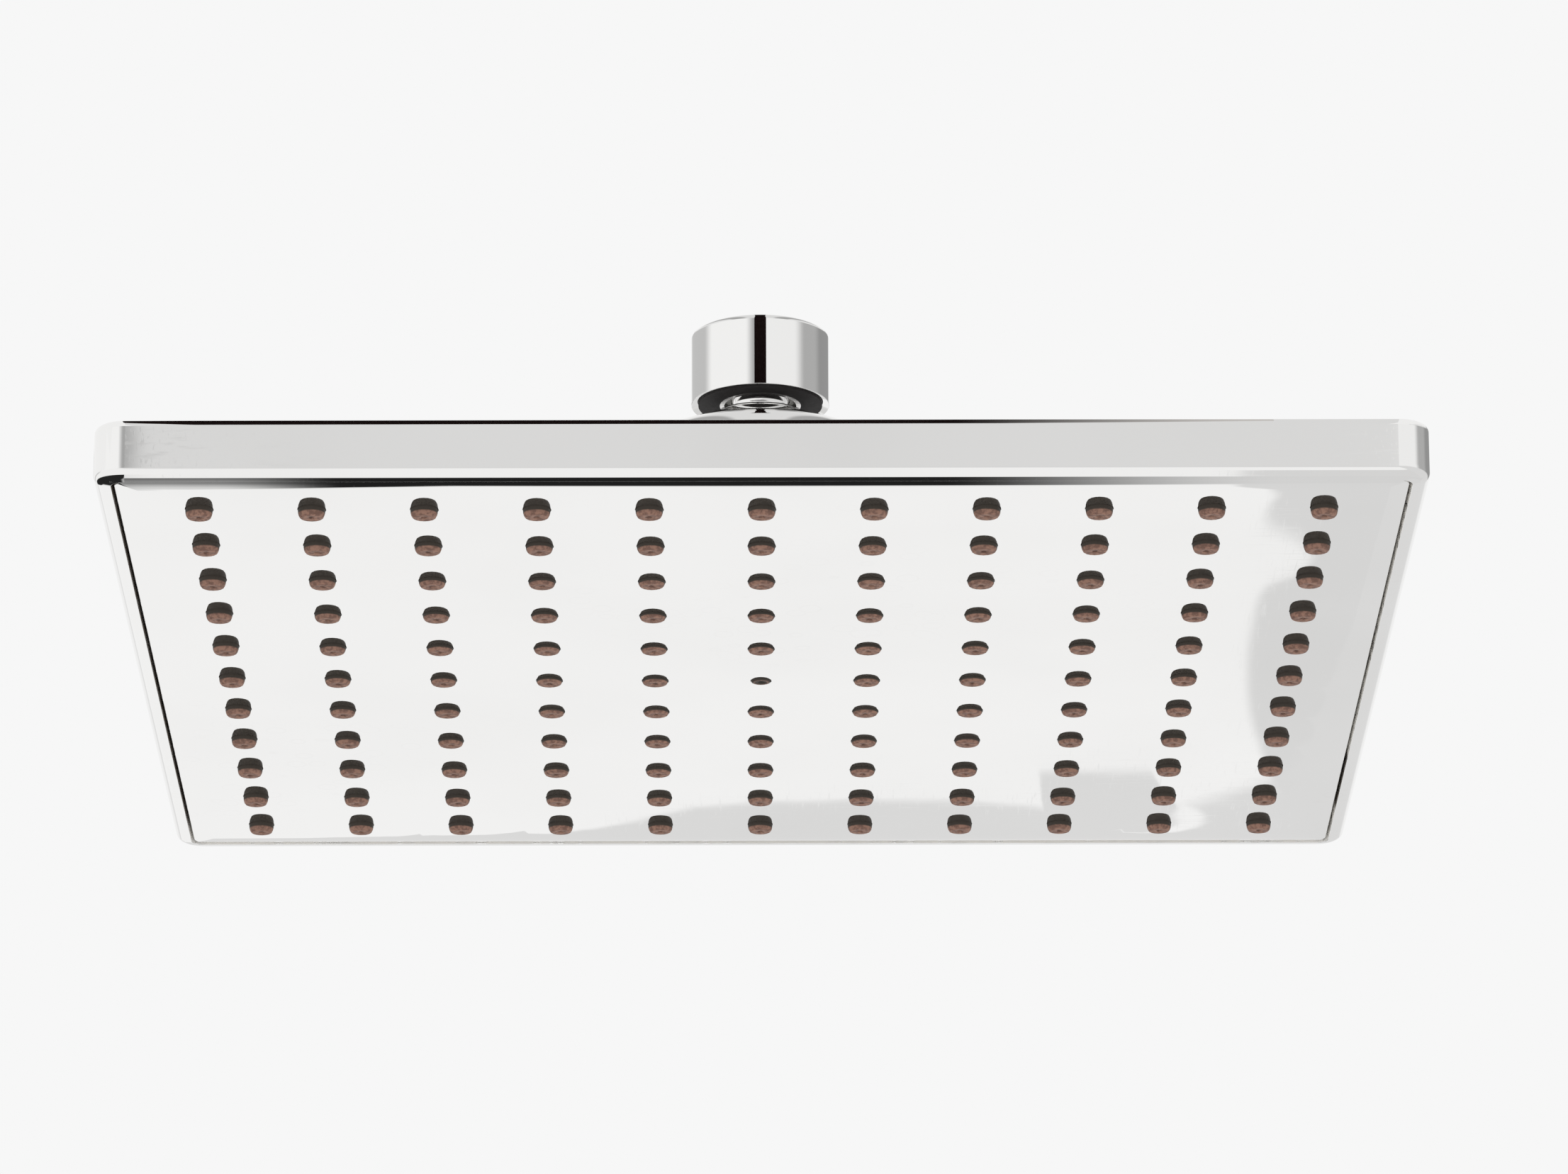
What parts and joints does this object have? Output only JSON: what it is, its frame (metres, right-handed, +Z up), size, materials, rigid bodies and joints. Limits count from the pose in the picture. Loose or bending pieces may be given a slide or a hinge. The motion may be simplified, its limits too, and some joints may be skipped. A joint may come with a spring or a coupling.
{
  "type": "rain shower head",
  "caption": "Square rain shower head with a grid of soft nozzles, a shallow pyramid back and a swivelling threaded coupling nut.",
  "frame": {"origin": "centre of the plane of the nozzle tips, on which the head rests face down", "axes": "+Z up through the swivel and out of the threaded inlet, X and Y along the sides of the square"},
  "size_m": [0.25, 0.25, 0.074],
  "materials": {
    "chromed_plastic": "chrome-plated moulded plastic, mirror bright",
    "chromed_face": "chrome-plated moulded plastic, mirror bright, slightly crowned",
    "silicone": "taupe silicone, soft satin",
    "inner_plastic": "moulded off-white plastic",
    "screw_steel": "stainless steel screws",
    "seal_rubber": "black seal rubber",
    "raw_brass": "turned brass",
    "limiter_plastic": "moulded blue plastic",
    "chromed_brass": "turned brass, chrome-plated, mirror bright",
    "slip_plastic": "natural bearing plastic",
    "filter_steel": "fine stainless mesh"
  },
  "bodies": {
    "nut": {"swivel_nut": "chromed_brass", "compression_ring": "slip_plastic", "liner_o_ring": "seal_rubber", "inlet_washer": "seal_rubber", "inlet_filter": "filter_steel", "wiper_ring": "seal_rubber"},
    "seat": {"seat_ring": "slip_plastic"},
    "liner": {"ball_liner": "slip_plastic"},
    "head": {"ball_stem": "chromed_brass", "back_cover": "chromed_plastic", "face_plate": "chromed_face", "nozzle_mat": "silicone", "diffuser_plate": "inner_plastic", "plate_screws": "screw_steel", "chamber_gasket": "seal_rubber", "chamber_cover": "inner_plastic", "cover_screws": "screw_steel", "thread_insert": "raw_brass", "stem_o_ring": "seal_rubber", "flow_limiter": "limiter_plastic", "flange_washer": "seal_rubber"}
  },
  "joints": [
    {"name": "head_turn", "type": "hinge", "parent": "nut", "child": "seat", "pos_m": [0, 0, 0.0636], "axis": [0, 0, 1], "continuous": true},
    {"name": "tilt_front_back", "type": "hinge", "parent": "seat", "child": "liner", "pos_m": [0, 0, 0.0636], "axis": [1, 0, 0], "range_deg": [-8, 8]},
    {"name": "tilt_sideways", "type": "hinge", "parent": "liner", "child": "head", "pos_m": [0, 0, 0.0636], "axis": [0, 1, 0], "range_deg": [-8, 8]}
  ]
}
